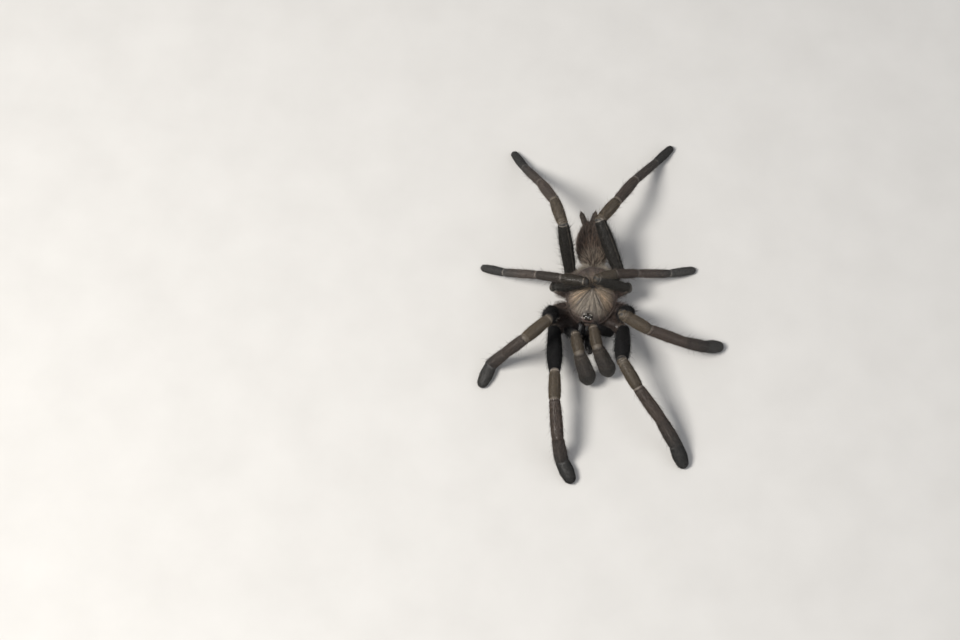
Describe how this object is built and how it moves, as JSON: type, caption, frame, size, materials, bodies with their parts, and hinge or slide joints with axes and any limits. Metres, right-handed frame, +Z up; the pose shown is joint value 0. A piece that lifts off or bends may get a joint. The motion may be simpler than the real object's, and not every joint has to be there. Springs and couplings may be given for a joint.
{
  "type": "tarantula",
  "caption": "Still life-size burrowing tarantula spider standing on a level floor, front legs and feelers reaching forward, third legs spread sideways over the body.",
  "frame": {"origin": "on the floor under the middle of the animal's bounding box", "axes": "head faces -Y, the spider's own left side is +X, +Z up; the feet rest on z = 0"},
  "size_m": [0.0716, 0.109, 0.0227],
  "materials": {
    "femur_coat": "near black short velvet hair",
    "patella_coat": "grey olive-brown hair with two bare stripes",
    "tibia_coat": "purplish grey-brown hair with two bare stripes",
    "metatarsus_coat": "grey-brown hair",
    "tarsus_coat": "dense dark grey pad hair",
    "carapace_coat": "silky golden grey hair lying along radial grooves",
    "underside_coat": "short dark brown hair",
    "abdomen_coat": "long reddish-brown hair",
    "jaw": "black hair over glossy black shell",
    "fang_horn": "glossy black horn",
    "eye_mound_gloss": "glossy black",
    "spinneret_skin": "short brown hair"
  },
  "bodies": {
    "root": {"abdomen": "abdomen_coat", "carapace": "carapace_coat", "chelicera_left": "jaw", "chelicera_right": "jaw", "fang_left": "fang_horn", "fang_right": "fang_horn", "leg1_left_femur": "femur_coat", "leg1_left_metatarsus": "metatarsus_coat", "leg1_left_patella": "patella_coat", "leg1_left_tarsus": "tarsus_coat", "leg1_left_tibia": "tibia_coat", "leg1_right_femur": "femur_coat", "leg1_right_metatarsus": "metatarsus_coat", "leg1_right_patella": "patella_coat", "leg1_right_tarsus": "tarsus_coat", "leg1_right_tibia": "tibia_coat", "leg2_left_femur": "femur_coat", "leg2_left_metatarsus": "metatarsus_coat", "leg2_left_patella": "patella_coat", "leg2_left_tarsus": "tarsus_coat", "leg2_left_tibia": "tibia_coat", "leg2_right_femur": "femur_coat", "leg2_right_metatarsus": "metatarsus_coat", "leg2_right_patella": "patella_coat", "leg2_right_tarsus": "tarsus_coat", "leg2_right_tibia": "tibia_coat", "leg3_left_femur": "femur_coat", "leg3_left_metatarsus": "metatarsus_coat", "leg3_left_patella": "patella_coat", "leg3_left_tarsus": "tarsus_coat", "leg3_left_tibia": "tibia_coat", "leg3_right_femur": "femur_coat", "leg3_right_metatarsus": "metatarsus_coat", "leg3_right_patella": "patella_coat", "leg3_right_tarsus": "tarsus_coat", "leg3_right_tibia": "tibia_coat", "leg4_left_femur": "femur_coat", "leg4_left_metatarsus": "metatarsus_coat", "leg4_left_patella": "patella_coat", "leg4_left_tarsus": "tarsus_coat", "leg4_left_tibia": "tibia_coat", "leg4_right_femur": "femur_coat", "leg4_right_metatarsus": "metatarsus_coat", "leg4_right_patella": "patella_coat", "leg4_right_tarsus": "tarsus_coat", "leg4_right_tibia": "tibia_coat", "ocular_tubercle": "eye_mound_gloss", "palp_left_femur": "femur_coat", "palp_left_patella": "patella_coat", "palp_left_tarsus": "tarsus_coat", "palp_left_tibia": "tibia_coat", "palp_right_femur": "femur_coat", "palp_right_patella": "patella_coat", "palp_right_tarsus": "tarsus_coat", "palp_right_tibia": "tibia_coat", "spinneret_left": "spinneret_skin", "spinneret_right": "spinneret_skin", "sternum_coxae": "underside_coat"}
  },
  "joints": []
}
